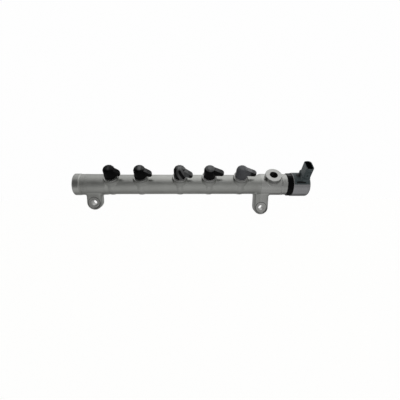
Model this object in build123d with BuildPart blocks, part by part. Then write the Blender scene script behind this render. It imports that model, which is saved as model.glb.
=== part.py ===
from build123d import *
import os
from math import cos, radians, sin, sqrt, tan

os.makedirs("parts", exist_ok=True)

# Common-rail fuel rail of a four-cylinder diesel engine, millimetres.
# +X runs along the rail from the sensor end, +Z is up, and the ports lean towards -Y.
# The origin is on the rail's axis, in the plane of the sensor end.

# ---- rail tube ----
tube_d = 26.0
bore_d = 10.0
end_band_d = 28.5
end_band_length = 8.4
end_chamfer = 1.2
band_step = 0.7
groove_width = 1.0
groove_depth = 0.5
neck_d = 27.4
neck_to_port = 7.4
valve_end_d = 28.8
valve_end_from_port = 27.9
valve_end_length = 36.0
step_length = 4.0
valve_groove_from_end = 8.6
valve_ring_width = 3.2
valve_ring_depth = 0.35

# ---- ports ----
port_x = (49.4, 87.3, 138.1, 176.5, 218.1)
port_lean = 41.0
swell_d = 27.4
boss_base_d = 21.2
boss_d = 19.0
boss_height = 16.8
nipple_d = 13.0
nipple_length = 13.7
nipple_neck_d = 12.2
nipple_neck_length = 2.0
cone_d = 8.4
cone_angle = 60.0
drilling_d = 2.4

# ---- return port ----
return_from_end = 20.8
return_lean = 41.0
return_boss_d = 22.0
return_boss_height = 19.9
return_thread_d = 10.5
return_thread_depth = 9.5
return_drilling_d = 3.0
return_chamfer = 0.6

# ---- sensor port, M18 x 1.5 drawn at its core ----
sensor_thread_d = 16.4
sensor_thread_depth = 14.0

# ---- lugs ----
lug_from_sensor_end = 25.5
lug_past_step = 2.1
lug_drop = (23.2, 30.8)
lug_width = 19.4
lug_front = 9.0
lug_seat = 3.0
lug_edge = 2.6
lug_root = 3.2
bolt_hole_d = 7.0
spotface_d = 14.0
spotface_rim_d = 16.8
spotface_depth = 1.2

# ---- valve chamber in the rail's right end ----
valve_thread_d = 20.4
valve_thread_depth = 15.0
chamber_d = 17.0
chamber_depth = 27.0

# ---- dust caps ----
cap_d = 15.1
cap_shoulder_d = 14.9
cap_crown_d = 4.0
cap_height = 15.1
cap_socket = 12.1
cap_shoulder = 9.6
cap_fit = 0.10
cap_lip = 1.6
cap_lip_proud = 0.35
cap_turn = (6.0, 9.0, 16.0, 2.0, 3.0)
tab_reach = (13.6, 15.7, 17.1, 18.5, 19.2)
tab_thickness = 6.0
tab_tip_height = 4.4
tab_tip_level = 2.6
tab_root_level = 14.4
tab_round = 1.4
tab_root_reach = 3.0
tab_arm = 9.2
tab_wall = 1.1

# ---- pressure-control valve ----
fit = 0.05
washer_thickness = 1.5
washer_bore_d = 9.0
return_groove_d = 13.0
return_groove_width = 4.4
groove_land = 0.9
seal_groove_d = 13.6
seal_groove_width = 3.0
backup_width = 1.2
inlet_d = 3.0
inlet_depth = 6.0
flange_length = 3.0
flange_gap = 0.1
stem_d = 14.4
nut_under_can = 0.55
nut_corner_cut = 2.2
nut_length = 6.6
nut_chamfer = 0.8
nut_turn = 10.0
nut_bore_d = 15.0
can_d = 31.7
can_wall = 1.0
can_rear_wall = 3.2
can_length = 23.7
can_round = 4.2
yoke_thickness = 2.4
stem_seal_section = 1.4
bobbin_hub = 0.9
bobbin_flange = 1.1
bobbin_gap = 0.25
winding_cover = 0.9
core_length = 8.0

# ---- connector ----
plug_lean = 35.0
saddle_start = 0.6
saddle_length = 20.8
saddle_width = 22.4
saddle_proud = 0.25
slot_depth = 0.7
slot_width = 0.9
slot_inset = 3.2
slot_margin = 2.4
plug_setback = 22.3
plug_reach = 34.6
plug_width = 10.4
plug_span = 17.2
plug_corner = 4.2
plug_wall = 1.3
plug_depth = 12.5
plug_foot = 1.0
plug_foot_reach = 18.6
latch_width = 4.0
latch_proud = 1.2
latch_length = 3.0
latch_from_mouth = 5.0
pin_width = 2.4
pin_thickness = 0.8
pin_pitch = 5.2
pin_reach = 7.0
pin_clearance = 0.3


def leaning(x, lean):
    """Plane square to a port's axis at x, where lean is its angle from upright towards -Y."""
    out = Vector(0, -sin(radians(lean)), cos(radians(lean)))
    return Plane(origin=(x, 0, 0), x_dir=(1, 0, 0), z_dir=out)


along_rail = Plane(origin=(0, 0, 0), x_dir=(0, 1, 0), z_dir=(1, 0, 0))
neck_length = port_x[0] - neck_to_port
valve_end_start = port_x[-1] + valve_end_from_port
rail_length = valve_end_start + valve_end_length
return_x = rail_length - return_from_end
lug_x = (lug_from_sensor_end, valve_end_start + lug_past_step)
tube_r = tube_d / 2
band_r = end_band_d / 2
neck_r = neck_d / 2
valve_end_r = valve_end_d / 2
ring_x = rail_length - valve_groove_from_end
chamber_floor = rail_length - chamber_depth

# ---- bolt lugs, drawn down from the axis, with rounded front edges ----
lugs = []
for x, drop in zip(lug_x, lug_drop):
    with BuildPart() as lug:
        with BuildSketch(Plane.XZ.offset(-lug_seat)):
            with Locations((x, -drop)):
                Circle(lug_width / 2)
            with Locations((x, -drop / 2)):
                Rectangle(lug_width, drop)
        extrude(amount=lug_front + lug_seat)
        fillet(lug.faces().sort_by(Axis.Y)[0].edges(), lug_edge)
    lugs.append(lug.part)

# ---- rail body: one forging, turned, drilled and bored ----
with BuildPart() as rail_body:
    with BuildSketch(Plane.XZ):
        with BuildLine():
            Polyline(
                (0, 0),
                (0, band_r - end_chamfer),
                (end_chamfer, band_r),
                (end_band_length, band_r),
                (end_band_length + band_step, neck_r),
                (neck_length, neck_r),
                (neck_length + step_length, tube_r),
                (valve_end_start - step_length, tube_r),
                (valve_end_start, valve_end_r),
                (ring_x, valve_end_r),
                (ring_x, valve_end_r - groove_depth),
                (ring_x + groove_width, valve_end_r - groove_depth),
                (ring_x + groove_width, valve_end_r),
                (rail_length - valve_ring_width - 2 * groove_width, valve_end_r),
                (rail_length - valve_ring_width - groove_width, valve_end_r - valve_ring_depth),
                (rail_length - groove_width, valve_end_r - valve_ring_depth),
                (rail_length, valve_end_r - valve_ring_depth - groove_width / 2),
                (rail_length, 0),
                close=True,
            )
        make_face()
    revolve(axis=Axis.X)
    for x in port_x:
        with Locations((x, 0, 0)):
            Sphere(swell_d / 2)
    # bolt lugs, blended into the tube
    for lug in lugs:
        add(lug)
        fillet(rail_body.edges(Select.NEW), lug_root)
    # port bosses, each drawn out from the axis to its machined face
    for x in port_x:
        base = leaning(x, port_lean)
        taper = (boss_base_d - boss_d) / 2 / (boss_height - tube_r + 3)
        with BuildSketch(base):
            Circle(boss_d / 2 + taper * boss_height)
        with BuildSketch(base.offset(boss_height)):
            Circle(boss_d / 2)
        loft()
        with BuildSketch(base.offset(boss_height)):
            Circle(nipple_neck_d / 2)
        extrude(amount=nipple_neck_length)
        with BuildSketch(base.offset(boss_height + nipple_neck_length)):
            Circle(nipple_d / 2)
        extrude(amount=nipple_length - nipple_neck_length)
        tip = rail_body.faces(Select.LAST).sort_by(Axis(base.origin, base.z_dir))[-1]
        chamfer(tip.edges(), 0.8)
    return_plane = leaning(return_x, return_lean)
    with BuildSketch(return_plane):
        Circle(return_boss_d / 2)
    extrude(amount=return_boss_height)
    return_face = rail_body.faces(Select.LAST).sort_by(Axis(return_plane.origin, return_plane.z_dir))[-1]
    chamfer(return_face.edges(), return_chamfer)
    # central bore, sensor port and valve chamber
    with BuildSketch(Plane.XZ):
        with BuildLine():
            Polyline(
                (0, 0),
                (0, sensor_thread_d / 2),
                (sensor_thread_depth, sensor_thread_d / 2),
                (sensor_thread_depth + (sensor_thread_d - bore_d) / 2, bore_d / 2),
                (chamber_floor, bore_d / 2),
                (chamber_floor, chamber_d / 2),
                (rail_length - valve_thread_depth, chamber_d / 2),
                (rail_length - valve_thread_depth, valve_thread_d / 2),
                (rail_length, valve_thread_d / 2),
                (rail_length, 0),
                close=True,
            )
        make_face()
    revolve(axis=Axis.X, mode=Mode.SUBTRACT)
    # coned cross-drillings in the nipples
    for x in port_x:
        with Locations(leaning(x, port_lean).offset(boss_height + nipple_length)):
            CounterSinkHole(drilling_d / 2, cone_d / 2, boss_height + nipple_length, cone_angle)
    # return port, down into the chamber round the valve's nose
    with Locations(return_plane.offset(return_boss_height)):
        Hole(return_drilling_d / 2, return_boss_height - chamber_d / 4)
        Hole(return_thread_d / 2, return_thread_depth)
    # bolt holes with spotfaces on the front
    for x, drop in zip(lug_x, lug_drop):
        with Locations(Plane(origin=(x, -lug_front, -drop), x_dir=(1, 0, 0), z_dir=(0, -1, 0))):
            Hole(bolt_hole_d / 2, lug_front + lug_seat)
        with BuildSketch(Plane(origin=(x, -lug_front, -drop), x_dir=(1, 0, 0), z_dir=(0, -1, 0))):
            Circle(spotface_rim_d / 2)
        with BuildSketch(Plane(origin=(x, spotface_depth - lug_front, -drop), x_dir=(1, 0, 0), z_dir=(0, -1, 0))):
            Circle(spotface_d / 2)
        loft(mode=Mode.SUBTRACT)
rail_body.part.label = "rail_body"
export_step(rail_body.part, "parts/rail_body.step")
print("rail", rail_body.part.is_valid, rail_body.part.volume, len(rail_body.faces()))

# ---- dust caps, each modelled about its nipple's axis, with its socket's floor at the origin ----
rim = -cap_socket
crown = cap_height - cap_socket
shoulder = cap_shoulder - cap_socket
cap_r = cap_d / 2
crown_r = cap_crown_d / 2
shoulder_r = cap_shoulder_d / 2
lip_r = cap_r + cap_lip_proud
lip_top = rim + cap_lip
dome_angle = radians(45)
dome_mid = (crown_r + (shoulder_r - crown_r) * cos(dome_angle), shoulder + (crown - shoulder) * sin(dome_angle))
tip_low = rim + tab_tip_level
tip_high = tip_low + tab_tip_height

for number, (x, turn, reach) in enumerate(zip(port_x, cap_turn, tab_reach), start=1):
    # pull tab: a wedge with a round end, hollow from below
    with BuildPart() as tab:
        with BuildSketch(Plane.XZ.offset(-tab_thickness / 2)) as wedge:
            with BuildLine():
                Polyline(
                    (0, rim + tab_root_level),
                    (tab_root_reach, rim + tab_root_level),
                    (reach, tip_high),
                    (reach, tip_low),
                    (0, tip_low),
                    close=True,
                )
            make_face()
            fillet(wedge.vertices().sort_by(Axis.X)[-2:], tab_round)
        extrude(amount=tab_thickness)
        with BuildSketch(Plane.XY.offset(rim)):
            with Locations(((reach - tab_thickness) / 2, 0)):
                SlotOverall(reach + tab_thickness, tab_thickness)
        extrude(amount=cap_height, mode=Mode.INTERSECT)
        with BuildSketch(Plane.XY.offset(tip_low)):
            with Locations(((tab_arm + reach - tab_wall) / 2, 0)):
                RectangleRounded(reach - tab_wall - tab_arm, tab_thickness - 2 * tab_wall, tab_wall)
        extrude(amount=tab_tip_height - tab_wall, mode=Mode.SUBTRACT)
    with BuildPart() as cap:
        with BuildSketch(Plane.XZ):
            with BuildLine():
                Polyline((crown_r, crown), (0, crown), (0, rim), (lip_r, rim))
                Polyline((lip_r, rim), (lip_r, lip_top), (cap_r, lip_top), (shoulder_r, shoulder))
                ThreePointArc((shoulder_r, shoulder), dome_mid, (crown_r, crown))
            make_face()
        revolve(axis=Axis.Z)
        add(tab.part)
        # socket on the nipple
        with BuildSketch(Plane.XY):
            Circle(nipple_d / 2 + cap_fit)
        extrude(amount=-cap_socket, mode=Mode.SUBTRACT)
    with BuildPart() as port_cap:
        with Locations(leaning(x, port_lean).offset(boss_height + nipple_length)):
            add(cap.part, rotation=(0, 0, -turn))
    port_cap.part.label = f"port_cap_{number}"
    export_step(port_cap.part, f"parts/port_cap_{number}.step")


# ---- pressure-control valve, turned about the rail's axis ----
nose = chamber_floor + washer_thickness
chamber_r = chamber_d / 2
return_groove = return_x - return_groove_width / 2
seal_groove = return_groove + return_groove_width + groove_land
seal_end = seal_groove + seal_groove_width
flange_start = rail_length - valve_thread_depth + flange_gap
flange_end = flange_start + flange_length
thread_r = valve_thread_d / 2 - fit
stem_r = stem_d / 2
can_front = rail_length + nut_length
can_rear = can_front + can_length
can_floor = can_rear - can_rear_wall
core_start = can_floor - core_length
can_r = can_d / 2
can_inner_r = can_r - can_wall
nut_corner_r = can_r - nut_under_can

with BuildPart() as seal_washer:
    with BuildSketch(Plane.YZ.offset(chamber_floor)):
        Circle(chamber_r - fit)
        Circle(washer_bore_d / 2, mode=Mode.SUBTRACT)
    extrude(amount=washer_thickness)
seal_washer.part.label = "seal_washer"
export_step(seal_washer.part, "parts/seal_washer.step")

with BuildPart() as valve_body:
    with BuildSketch(Plane.XZ):
        with BuildLine():
            Polyline(
                (nose, 0),
                (nose, chamber_r - fit),
                (return_groove, chamber_r - fit),
                (return_groove, return_groove_d / 2),
                (return_groove + return_groove_width, return_groove_d / 2),
                (return_groove + return_groove_width, chamber_r - fit),
                (seal_groove, chamber_r - fit),
                (seal_groove, seal_groove_d / 2),
                (seal_end, seal_groove_d / 2),
                (seal_end, chamber_r - fit),
                (flange_start, chamber_r - fit),
                (flange_start, thread_r),
                (flange_end, thread_r),
                (flange_end, stem_r),
                (core_start, stem_r),
                (core_start, 0),
                close=True,
            )
        make_face()
    revolve(axis=Axis.X)
    with Locations(Plane(origin=(nose, 0, 0), x_dir=(0, 1, 0), z_dir=(-1, 0, 0))):
        Hole(inlet_d / 2, inlet_depth)
valve_body.part.label = "valve_body"
export_step(valve_body.part, "parts/valve_body.step")

with BuildPart() as backup_ring:
    with BuildSketch(Plane.YZ.offset(seal_end - backup_width)):
        Circle(chamber_r - fit)
        Circle(seal_groove_d / 2, mode=Mode.SUBTRACT)
    extrude(amount=backup_width)
backup_ring.part.label = "backup_ring"
export_step(backup_ring.part, "parts/backup_ring.step")

ring_room = seal_groove_width - backup_width
ring_section = chamber_r - seal_groove_d / 2
with BuildPart() as cartridge_o_ring:
    with BuildSketch(Plane.XZ):
        with Locations((seal_end - backup_width - ring_room / 2, seal_groove_d / 2 + ring_section / 2)):
            RegularPolygon(min(ring_section, ring_room) / 2, 8, rotation=22.5)
    revolve(axis=Axis.X)
cartridge_o_ring.part.label = "cartridge_o_ring"
export_step(cartridge_o_ring.part, "parts/cartridge_o_ring.step")

with BuildPart() as clamp_nut:
    with BuildSketch(along_rail.offset(rail_length)):
        RegularPolygon(nut_corner_r - nut_corner_cut / 2, 6, major_radius=False, rotation=nut_turn)
    extrude(amount=nut_length)
    # corners turned away on both faces
    with BuildSketch(Plane.XZ):
        with BuildLine():
            Polyline(
                (rail_length, 0),
                (rail_length, nut_corner_r - nut_chamfer),
                (rail_length + nut_chamfer, nut_corner_r),
                (can_front - nut_chamfer, nut_corner_r),
                (can_front, nut_corner_r - nut_chamfer),
                (can_front, 0),
                close=True,
            )
        make_face()
    revolve(axis=Axis.X, mode=Mode.INTERSECT)
    with BuildSketch(along_rail.offset(flange_end)):
        Circle(thread_r)
    extrude(amount=rail_length - flange_end)
    with BuildSketch(along_rail.offset(flange_end)):
        Circle(nut_bore_d / 2)
    extrude(amount=can_front - flange_end, mode=Mode.SUBTRACT)
clamp_nut.part.label = "clamp_nut"
export_step(clamp_nut.part, "parts/clamp_nut.step")

with BuildPart() as yoke_washer:
    with BuildSketch(along_rail.offset(can_front)):
        Circle(can_inner_r - fit)
        Circle(stem_r + fit, mode=Mode.SUBTRACT)
    extrude(amount=yoke_thickness)
    with BuildSketch(along_rail.offset(can_front)):
        Circle(stem_r + 2 * fit + stem_seal_section)
    extrude(amount=stem_seal_section + fit, mode=Mode.SUBTRACT)
yoke_washer.part.label = "yoke_washer"
export_step(yoke_washer.part, "parts/yoke_washer.step")

with BuildPart() as stem_seal:
    with BuildSketch(Plane.XZ):
        with Locations((can_front + stem_seal_section / 2 + fit / 2, stem_r + fit + stem_seal_section / 2)):
            RegularPolygon(stem_seal_section / 2, 8, rotation=22.5)
    revolve(axis=Axis.X)
stem_seal.part.label = "stem_seal"
export_step(stem_seal.part, "parts/stem_seal.step")

bobbin_start = can_front + yoke_thickness
bobbin_r = can_inner_r - bobbin_gap
hub_r = stem_r + fit + bobbin_hub
with BuildPart() as coil_bobbin:
    with BuildSketch(Plane.XZ):
        with BuildLine():
            Polyline(
                (bobbin_start, stem_r + fit),
                (bobbin_start, bobbin_r),
                (bobbin_start + bobbin_flange, bobbin_r),
                (bobbin_start + bobbin_flange, hub_r),
                (can_floor - bobbin_flange, hub_r),
                (can_floor - bobbin_flange, bobbin_r),
                (can_floor, bobbin_r),
                (can_floor, stem_r + fit),
                close=True,
            )
        make_face()
    revolve(axis=Axis.X)
coil_bobbin.part.label = "coil_bobbin"
export_step(coil_bobbin.part, "parts/coil_bobbin.step")

with BuildPart() as coil_winding:
    with BuildSketch(along_rail.offset(bobbin_start + bobbin_flange)):
        Circle(bobbin_r - winding_cover)
        Circle(hub_r, mode=Mode.SUBTRACT)
    extrude(amount=can_floor - bobbin_start - 2 * bobbin_flange)
coil_winding.part.label = "coil_winding"
export_step(coil_winding.part, "parts/coil_winding.step")

with BuildPart() as pole_core:
    with BuildSketch(along_rail.offset(core_start)):
        Circle(stem_r)
    extrude(amount=core_length)
pole_core.part.label = "pole_core"
export_step(pole_core.part, "parts/pole_core.step")

# ---- coil can and the moulding that fills its window ----
plug_x = rail_length + plug_setback
plug_plane = leaning(plug_x, plug_lean)
saddle_x = can_front + saddle_start + saddle_length / 2
saddle_plane = leaning(saddle_x, plug_lean)
window_foot = can_r / 3
pin_root = bobbin_r + pin_clearance

with BuildPart() as coil_housing:
    with BuildSketch(along_rail.offset(can_front)):
        Circle(can_r)
    extrude(amount=can_length)
    fillet(coil_housing.faces().sort_by(Axis.X)[-1].edges(), can_round)
    with BuildSketch(along_rail.offset(can_front)):
        Circle(can_inner_r)
    extrude(amount=can_length - can_rear_wall, mode=Mode.SUBTRACT)
    with BuildSketch(saddle_plane.offset(window_foot)):
        Rectangle(saddle_length, saddle_width)
    extrude(amount=can_r, mode=Mode.SUBTRACT)
coil_housing.part.label = "coil_housing"
export_step(coil_housing.part, "parts/coil_housing.step")

with BuildPart() as connector_housing:
    with BuildSketch(saddle_plane.offset(window_foot)):
        Rectangle(saddle_length - 2 * fit, saddle_width - 2 * fit)
    extrude(amount=can_r)
    with BuildSketch(along_rail.offset(can_front)):
        Circle(can_r + saddle_proud)
    extrude(amount=can_length, mode=Mode.INTERSECT)
    # slots along both long edges of the saddle
    for side in (-1, 1):
        with BuildSketch(saddle_plane.offset(window_foot)):
            with Locations((0, side * (saddle_width / 2 - slot_inset))):
                Rectangle(saddle_length - 2 * slot_margin, slot_width)
        extrude(amount=can_r, mode=Mode.SUBTRACT)
    with BuildSketch(along_rail.offset(can_front)):
        Circle(can_r + saddle_proud - slot_depth)
    extrude(amount=saddle_start + saddle_length - fit)
    with BuildSketch(saddle_plane.offset(-can_r)):
        Rectangle(saddle_length - 2 * fit, saddle_width - 2 * fit)
    extrude(amount=3 * can_r, mode=Mode.INTERSECT)
    # foot and shroud of the plug
    with BuildSketch(plug_plane):
        with Locations((-plug_foot / 2, 0)):
            RectangleRounded(plug_width + plug_foot, plug_span + 2 * plug_foot, plug_corner)
    extrude(amount=plug_foot_reach)
    with BuildSketch(plug_plane):
        RectangleRounded(plug_width, plug_span, plug_corner)
    extrude(amount=plug_reach)
    with BuildSketch(plug_plane.offset(plug_reach - plug_depth)):
        RectangleRounded(plug_width - 2 * plug_wall, plug_span - 2 * plug_wall, plug_corner - plug_wall)
    extrude(amount=plug_depth, mode=Mode.SUBTRACT)
    with BuildSketch(plug_plane.offset(plug_reach - latch_from_mouth - latch_length)):
        with Locations((0, -(plug_span + latch_proud) / 2)):
            Rectangle(latch_width, latch_proud)
    extrude(amount=latch_length)
    # room for the coil
    with BuildSketch(along_rail.offset(can_front)):
        Circle(bobbin_r)
    extrude(amount=2 * can_length, mode=Mode.SUBTRACT)
    with BuildSketch(along_rail.offset(can_front)):
        Circle(can_inner_r)
    extrude(amount=yoke_thickness, mode=Mode.SUBTRACT)
    with BuildSketch(plug_plane.offset(-can_d)):
        Rectangle(4 * can_d, 4 * can_d)
    extrude(amount=can_d, mode=Mode.SUBTRACT)
    # slots that the pins are pressed into
    with BuildSketch(plug_plane.offset(pin_root)):
        with GridLocations(0, pin_pitch, 1, 2):
            Rectangle(pin_thickness, pin_width)
    extrude(amount=plug_reach - plug_depth - pin_root, mode=Mode.SUBTRACT)
connector_housing.part.label = "connector_housing"
export_step(connector_housing.part, "parts/connector_housing.step")

for number, side in enumerate((-1, 1), start=1):
    with BuildPart() as terminal_pin:
        with BuildSketch(plug_plane.offset(pin_root)):
            with Locations((0, side * pin_pitch / 2)):
                Rectangle(pin_thickness, pin_width)
        extrude(amount=plug_reach - plug_depth - pin_root + pin_reach)
        tip = terminal_pin.faces().sort_by(Axis(plug_plane.origin, plug_plane.z_dir))[-1]
        chamfer(tip.edges(), pin_thickness / 4)
    terminal_pin.part.label = f"terminal_pin_{number}"
    export_step(terminal_pin.part, f"parts/terminal_pin_{number}.step")
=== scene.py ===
"""Common-rail fuel rail: finishes, fine detail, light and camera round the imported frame.

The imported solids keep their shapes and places. This script dresses each of them in a
procedural finish, adds the threads, tool marks and moulded detail that the solids leave
out, and sets a plain pale studio. Lengths are millimetres until a mesh is finished.
"""

import logging
from dataclasses import dataclass
from enum import Enum
from functools import reduce
from math import cos, pi, radians, sin
from typing import Optional, Sequence, Tuple, Union

import bpy
from bpy.types import Material, Node, NodeTree
from bpy.types import NodeSocket as Socket
from mathutils import Matrix, Vector


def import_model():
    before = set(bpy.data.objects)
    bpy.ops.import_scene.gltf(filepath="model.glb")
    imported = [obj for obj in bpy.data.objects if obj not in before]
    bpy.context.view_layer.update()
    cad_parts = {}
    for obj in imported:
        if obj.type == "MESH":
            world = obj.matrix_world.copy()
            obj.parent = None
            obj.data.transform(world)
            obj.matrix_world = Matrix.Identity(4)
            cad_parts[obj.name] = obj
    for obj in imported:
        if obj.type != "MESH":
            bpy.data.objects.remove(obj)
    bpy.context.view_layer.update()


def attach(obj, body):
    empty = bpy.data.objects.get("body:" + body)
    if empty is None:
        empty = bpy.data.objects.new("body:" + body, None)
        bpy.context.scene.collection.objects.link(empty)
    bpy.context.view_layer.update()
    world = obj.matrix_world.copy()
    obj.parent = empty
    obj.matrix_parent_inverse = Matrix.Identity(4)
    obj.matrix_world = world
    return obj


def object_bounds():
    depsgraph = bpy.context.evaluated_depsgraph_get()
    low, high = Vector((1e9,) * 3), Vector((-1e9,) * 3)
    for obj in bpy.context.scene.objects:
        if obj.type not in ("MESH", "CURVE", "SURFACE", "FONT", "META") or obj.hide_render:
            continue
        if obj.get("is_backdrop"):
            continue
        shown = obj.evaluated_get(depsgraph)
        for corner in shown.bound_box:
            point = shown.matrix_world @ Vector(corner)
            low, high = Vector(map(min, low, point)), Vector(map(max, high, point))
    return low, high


log = logging.getLogger("fuel_rail")

MM = 0.001
BODY = "root"

Triple = Tuple[float, float, float]
Span = Tuple[float, float]
Source = Union[Socket, float, Sequence[float]]

ORIGIN: Triple = (0.0, 0.0, 0.0)
X_AXIS: Triple = (1.0, 0.0, 0.0)
Y_AXIS: Triple = (0.0, 1.0, 0.0)
Z_AXIS: Triple = (0.0, 0.0, 1.0)
# Axes that count in a distance from the rail's axis, and in one from a lug's bolt.
ROUND_RAIL: Triple = (0.0, 1.0, 1.0)
ROUND_BOLT: Triple = (1.0, 0.0, 1.0)

# A group's socket types, by name where the name says it and else by its default's type.
NAMED_SOCKETS = {"Material": "NodeSocketMaterial", "Geometry": "NodeSocketGeometry"}
SOCKETS = {int: "NodeSocketInt", float: "NodeSocketFloat", tuple: "NodeSocketVector"}

# Angle round the rail's length in degrees (0 faces the camera, 90 is overhead), then how
# bright the studio is there on the left, in the middle and on the right. A separate program
# solved for these levels against measured tones. Six on the left were then raised.
LIGHT_BANDS = (
    (-180, 0.26, 0.47, 0.38), (-150, 0.25, 0.38, 0.22), (-130, 0.23, 0.34, 0.10), (-112, 0.20, 0.29, 0.10),
    (-97, 0.17, 0.16, 0.23), (-84, 0.25, 0.22, 0.33), (-72, 0.31, 0.36, 0.29), (-58, 0.31, 0.36, 0.28),
    (-44, 0.34, 0.42, 0.31), (-30, 0.29, 0.54, 0.30), (-15, 0.12, 0.55, 0.22), (-2, 0.07, 0.55, 0.20),
    (10, 0.07, 0.42, 0.23), (20, 0.07, 0.24, 0.26), (30, 0.07, 0.20, 0.28), (40, 0.07, 0.36, 0.28),
    (52, 0.07, 0.62, 0.33), (65, 0.18, 0.77, 0.41), (80, 0.29, 0.81, 0.50), (100, 0.34, 0.89, 0.58),
    (125, 0.44, 0.86, 0.62), (152, 0.38, 0.63, 0.53), (180, 0.26, 0.47, 0.38),
)


# ---- node helpers


class Graph:
    """Adds nodes to one tree and links them, so a finish reads as a recipe."""

    def __init__(self, tree: NodeTree) -> None:
        """Keep the tree to be filled."""
        self.tree = tree

    def node(self, kind: str, inputs: Optional[dict] = None, **settings: object) -> Node:
        """Add a node.

        Args:
            kind: The node's type name.
            inputs: What feeds it, by the name or number of the socket.
            **settings: Properties to set on the node.

        Returns:
            The new node.
        """
        made = self.tree.nodes.new(kind)
        for name, value in settings.items():
            setattr(made, name, value)
        for name, source in (inputs or {}).items():
            self.feed(made.inputs[name], source)
        return made

    def add(self, kind: str, inputs: Optional[dict] = None, **settings: object) -> Socket:
        """Add a node and return its first output."""
        return self.node(kind, inputs, **settings).outputs[0]

    def found(self, kind: str) -> Node:
        """Find the node of a type that the tree came with."""
        return next(node for node in self.tree.nodes if node.type == kind)

    def feed(self, target: Socket, source: Source) -> None:
        """Link a socket to the target, or set the target's own value.

        Args:
            target: The input socket.
            source: An output socket, a number or a tuple.
        """
        if isinstance(source, Socket):
            self.tree.links.new(source, target)
        else:
            target.default_value = source

    def math(self, operation: str, *values: Source, clamp: bool = False) -> Socket:
        """Add a Math node and return its result, held within 0 and 1 if it is clamped."""
        return self.add("ShaderNodeMath", dict(enumerate(values)), operation=operation, use_clamp=clamp)

    def times(self, *values: Source) -> Socket:
        """Multiply two values or more."""
        return reduce(lambda product, value: self.math("MULTIPLY", product, value), values)

    def largest(self, *values: Source) -> Socket:
        """Take the largest of two values or more."""
        return reduce(lambda most, value: self.math("MAXIMUM", most, value), values)

    def minus(self, first: Source, second: Source) -> Socket:
        """Take the second value from the first."""
        return self.math("SUBTRACT", first, second)

    def apart(self, first: Source, second: Source) -> Socket:
        """Return how far two values lie apart."""
        return self.math("ABSOLUTE", self.minus(first, second))

    def vector(self, operation: str, *values: Source) -> Socket:
        """Add a Vector Math node and return its vector."""
        return self.add("ShaderNodeVectorMath", dict(enumerate(values)), operation=operation)

    def number(self, operation: str, *values: Source) -> Socket:
        """Add a Vector Math node and return its number."""
        made = self.node("ShaderNodeVectorMath", dict(enumerate(values)), operation=operation)
        return made.outputs["Value"]

    def scaled(self, vector: Source, factor: Source) -> Socket:
        """Stretch a vector by a factor."""
        return self.add("ShaderNodeVectorMath", {0: vector, "Scale": factor}, operation="SCALE")

    def mix(self, factor: Source, low: Source, high: Source) -> Socket:
        """Mix two colours.

        Args:
            factor: How much of the second colour.
            low: The first colour.
            high: The second colour.

        Returns:
            The mixed colour.
        """
        made = self.node("ShaderNodeMix", {"Factor": factor}, data_type="RGBA")
        slots = [slot for slot in made.inputs if slot.type == "RGBA"]
        for slot, colour in zip(slots, (low, high)):
            self.feed(slot, colour if isinstance(colour, Socket) else (*colour, 1.0))
        return next(slot for slot in made.outputs if slot.type == "RGBA")

    def spread(self, value: Source, span: Span, low: float = 0.0, high: float = 1.0) -> Socket:
        """Map a value's place in a span to a place from low to high, held at both ends."""
        return self.add("ShaderNodeMapRange", dict(enumerate((value, *span, low, high))))

    def group(self, tree: NodeTree, **values: Source) -> Node:
        """Place a shader group; the values feed its inputs, with underscores for spaces."""
        inputs = {name.replace("_", " "): value for name, value in values.items()}
        return self.node("ShaderNodeGroup", inputs, node_tree=tree)


class Group(Graph):
    """A node group with named sockets: `reads` holds its inputs and `writes` its outputs."""

    def __init__(self, name: str, inputs: dict, outputs: dict, kind: str = "ShaderNodeTree") -> None:
        """Start the group.

        Args:
            name: Its name.
            inputs: Default of each input by name.
            outputs: An example of each output by name.
            kind: Its tree's type name.
        """
        super().__init__(bpy.data.node_groups.new(name, kind))
        for way, sockets in (("INPUT", inputs), ("OUTPUT", outputs)):
            for label, value in sockets.items():
                made = NAMED_SOCKETS.get(label) or SOCKETS[type(value)]
                slot = self.tree.interface.new_socket(name=label, in_out=way, socket_type=made)
                if value is not None and way == "INPUT":
                    slot.default_value = value
        self.reads = {slot.name: slot for slot in self.node("NodeGroupInput").outputs if slot.name}
        self.writes = {slot.name: slot for slot in self.node("NodeGroupOutput").inputs if slot.name}


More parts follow.
